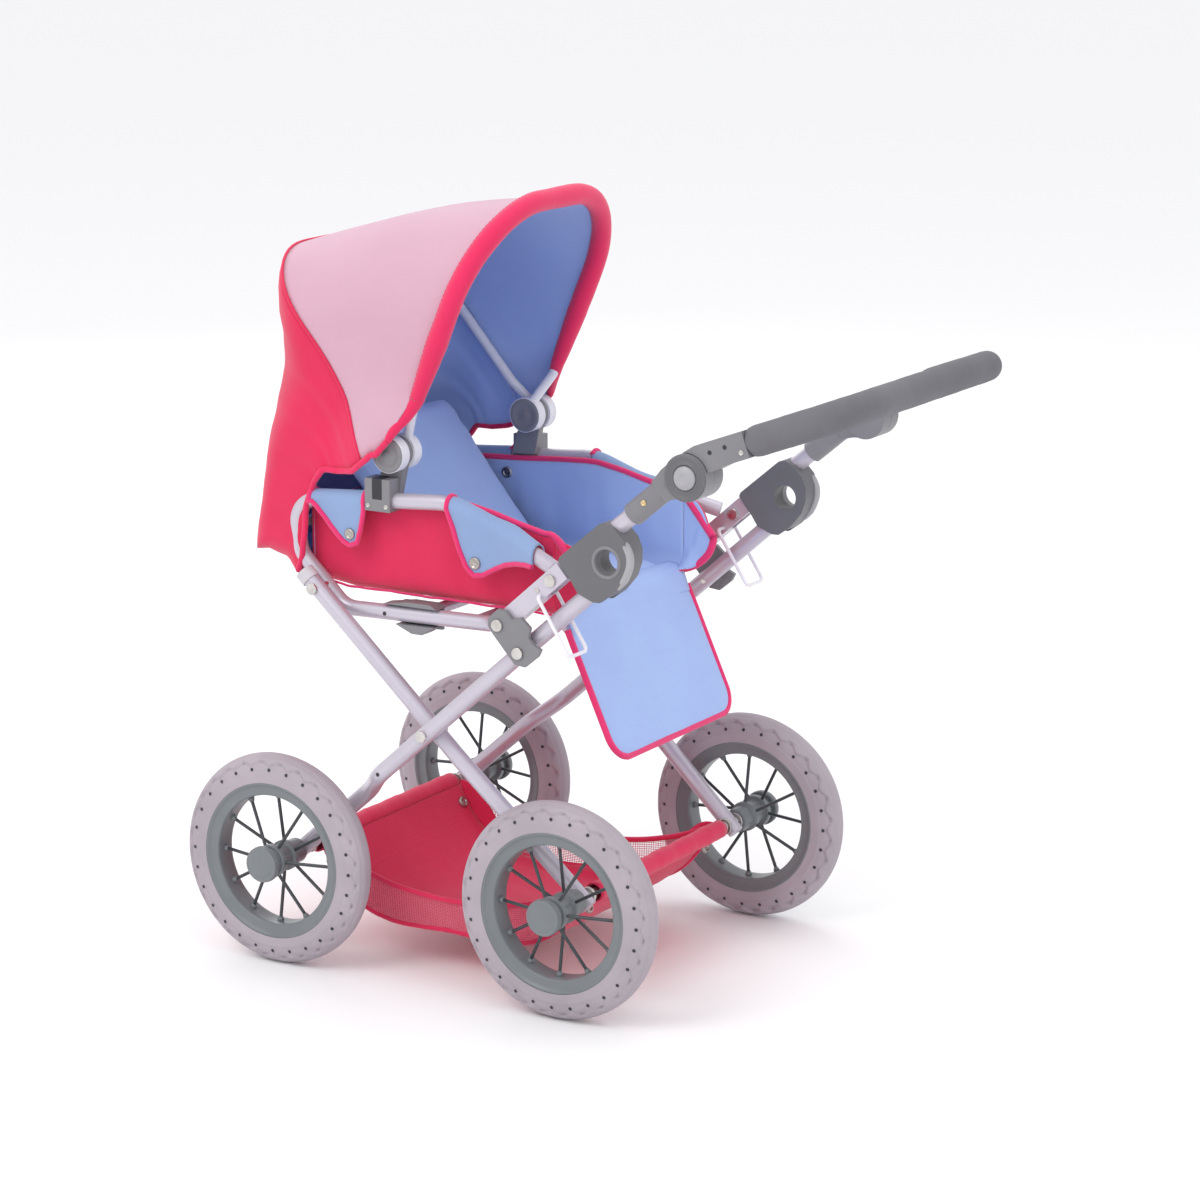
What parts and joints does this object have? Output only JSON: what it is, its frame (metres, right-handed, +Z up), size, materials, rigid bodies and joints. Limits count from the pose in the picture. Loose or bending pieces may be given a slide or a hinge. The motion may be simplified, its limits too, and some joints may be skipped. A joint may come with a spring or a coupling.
{
  "type": "doll stroller",
  "caption": "Folding doll stroller with crossed tube legs, spoked wheels, a fabric seat with leg rest and two-bow hood, a mesh basket, sliding fold locks and a tilting push handle.",
  "frame": {"origin": "on the floor, at the middle of the overall bounding box", "axes": "+X towards the person who pushes, +Z up, +Y across to that person's right hand"},
  "size_m": [0.6117, 0.367, 0.6447],
  "materials": {
    "frame_paint": "satin",
    "cap_plastic": "satin",
    "grey_plastic": "satin",
    "rim_plastic": "satin",
    "spoke_wire": "satin",
    "tyre": "matte",
    "steel_hardware": "satin",
    "white_wire": "gloss",
    "bow_plastic": "satin",
    "foam_grip": "matte",
    "pink_fabric": "woven",
    "pink_padding": "woven",
    "rose_fabric": "woven",
    "blue_fabric": "woven"
  },
  "bodies": {
    "chassis_front": {"front_leg_left": "frame_paint", "front_leg_right": "frame_paint", "front_axle": "steel_hardware", "cross_pivots": "steel_hardware", "basket": "pink_fabric", "basket_snaps": "steel_hardware"},
    "chassis_rear": {"rear_leg_left": "frame_paint", "rear_leg_right": "frame_paint", "rear_leg_caps": "cap_plastic", "rear_axle": "steel_hardware"},
    "seat_unit": {"seat_tube_left": "frame_paint", "seat_tube_right": "frame_paint", "seat_cross_tubes": "frame_paint", "seat_clamps": "grey_plastic", "handle_bar_left": "frame_paint", "handle_bar_right": "frame_paint", "frame_rivets": "steel_hardware", "seat_bag": "pink_fabric", "seat_pad": "blue_fabric", "hood_mount_left": "grey_plastic", "hood_mount_right": "grey_plastic", "hood_back_panel": "pink_fabric", "seat_snaps": "steel_hardware", "bag_hooks": "white_wire"},
    "fold_links": {"link_plates": "grey_plastic", "link_rivets": "steel_hardware"},
    "handle_lower": {"handle_tube_left": "frame_paint", "handle_tube_right": "frame_paint", "joint_sleeve_left": "grey_plastic", "joint_sleeve_right": "grey_plastic"},
    "lock_left": {"fold_lock_left": "grey_plastic"},
    "lock_right": {"fold_lock_right": "grey_plastic"},
    "grip_handle": {"grip_arm_left": "grey_plastic", "grip_arm_right": "grey_plastic", "grip_tube": "frame_paint", "grip_foam": "foam_grip"},
    "button_left": {"tilt_button_left": "grey_plastic"},
    "button_right": {"tilt_button_right": "grey_plastic"},
    "hood_rear": {"hood_rear_bow": "bow_plastic", "hood_top_panel": "rose_fabric"},
    "hood_front": {"hood_front_bow": "bow_plastic", "hood_rim": "pink_padding"},
    "leg_rest_flap": {"leg_rest": "blue_fabric"},
    "wheel_front_left": {"front_left_tyre": "tyre", "front_left_rim": "rim_plastic", "front_left_spokes": "spoke_wire", "front_left_hub": "grey_plastic"},
    "wheel_front_right": {"front_right_tyre": "tyre", "front_right_rim": "rim_plastic", "front_right_spokes": "spoke_wire", "front_right_hub": "grey_plastic"},
    "wheel_rear_left": {"rear_left_tyre": "tyre", "rear_left_rim": "rim_plastic", "rear_left_spokes": "spoke_wire", "rear_left_hub": "grey_plastic"},
    "wheel_rear_right": {"rear_right_tyre": "tyre", "rear_right_rim": "rim_plastic", "rear_right_spokes": "spoke_wire", "rear_right_hub": "grey_plastic"}
  },
  "joints": [
    {"name": "frame_fold", "type": "hinge", "parent": "chassis_front", "child": "chassis_rear", "pos_m": [-0.07543, 0, 0.2128], "axis": [0, 1, 0], "range_deg": [0, 10], "deforming": ["basket", "basket_snaps"]},
    {"name": "seat_pivot", "type": "hinge", "parent": "chassis_rear", "child": "seat_unit", "pos_m": [-0.1915, 0, 0.319], "axis": [0, 1, 0], "range_deg": [-6.9, 0]},
    {"name": "link_pivot", "type": "hinge", "parent": "chassis_front", "child": "fold_links", "pos_m": [0.0219, 0, 0.2965], "axis": [0, 1, 0], "range_deg": [0, 45]},
    {"name": "handle_fold", "type": "hinge", "parent": "seat_unit", "child": "handle_lower", "pos_m": [0.04966, 0, 0.35783], "axis": [0, 1, 0], "range_deg": [-45, 0]},
    {"name": "lock_left_slide", "type": "slide", "parent": "handle_lower", "child": "lock_left", "axis": [0.7672, 0, 0.6414], "range_m": [0, 0.0145]},
    {"name": "lock_right_slide", "type": "slide", "parent": "handle_lower", "child": "lock_right", "axis": [0.7672, 0, 0.6414], "range_m": [0, 0.0145]},
    {"name": "grip_tilt", "type": "hinge", "parent": "handle_lower", "child": "grip_handle", "pos_m": [0.1748, 0, 0.454], "axis": [0, 1, 0], "range_deg": [-30, 60]},
    {"name": "button_left_press", "type": "slide", "parent": "handle_lower", "child": "button_left", "axis": [0, 1, 0], "range_m": [0, 0.0025], "stiffness_N_per_m": 800},
    {"name": "button_right_press", "type": "slide", "parent": "handle_lower", "child": "button_right", "axis": [0, -1, 0], "range_m": [0, 0.0025], "stiffness_N_per_m": 800},
    {"name": "hood_tilt", "type": "hinge", "parent": "seat_unit", "child": "hood_rear", "pos_m": [-0.1279, 0, 0.4339], "axis": [0, 1, 0], "range_deg": [-20, 0], "deforming": ["hood_back_panel"]},
    {"name": "hood_fold", "type": "hinge", "parent": "hood_rear", "child": "hood_front", "pos_m": [-0.1279, 0, 0.4339], "axis": [0, 1, 0], "range_deg": [-50, 0], "deforming": ["hood_top_panel"]},
    {"name": "leg_rest_fold", "type": "hinge", "parent": "seat_unit", "child": "leg_rest_flap", "pos_m": [0.0255, 0, 0.309], "axis": [0, 1, 0], "range_deg": [-60, 0]},
    {"name": "wheel_front_left_spin", "type": "hinge", "parent": "chassis_front", "child": "wheel_front_left", "pos_m": [-0.2158, -0.157, 0.09], "axis": [0, 1, 0], "continuous": true},
    {"name": "wheel_front_right_spin", "type": "hinge", "parent": "chassis_front", "child": "wheel_front_right", "pos_m": [-0.2158, 0.157, 0.09], "axis": [0, 1, 0], "continuous": true},
    {"name": "wheel_rear_left_spin", "type": "hinge", "parent": "chassis_rear", "child": "wheel_rear_left", "pos_m": [0.0588, -0.157, 0.09], "axis": [0, 1, 0], "continuous": true},
    {"name": "wheel_rear_right_spin", "type": "hinge", "parent": "chassis_rear", "child": "wheel_rear_right", "pos_m": [0.0588, 0.157, 0.09], "axis": [0, 1, 0], "continuous": true}
  ],
  "couplings": [
    {"joint": "seat_pivot", "follows": "frame_fold", "ratio": -0.68},
    {"joint": "link_pivot", "follows": "frame_fold", "ratio": 4.45}
  ]
}
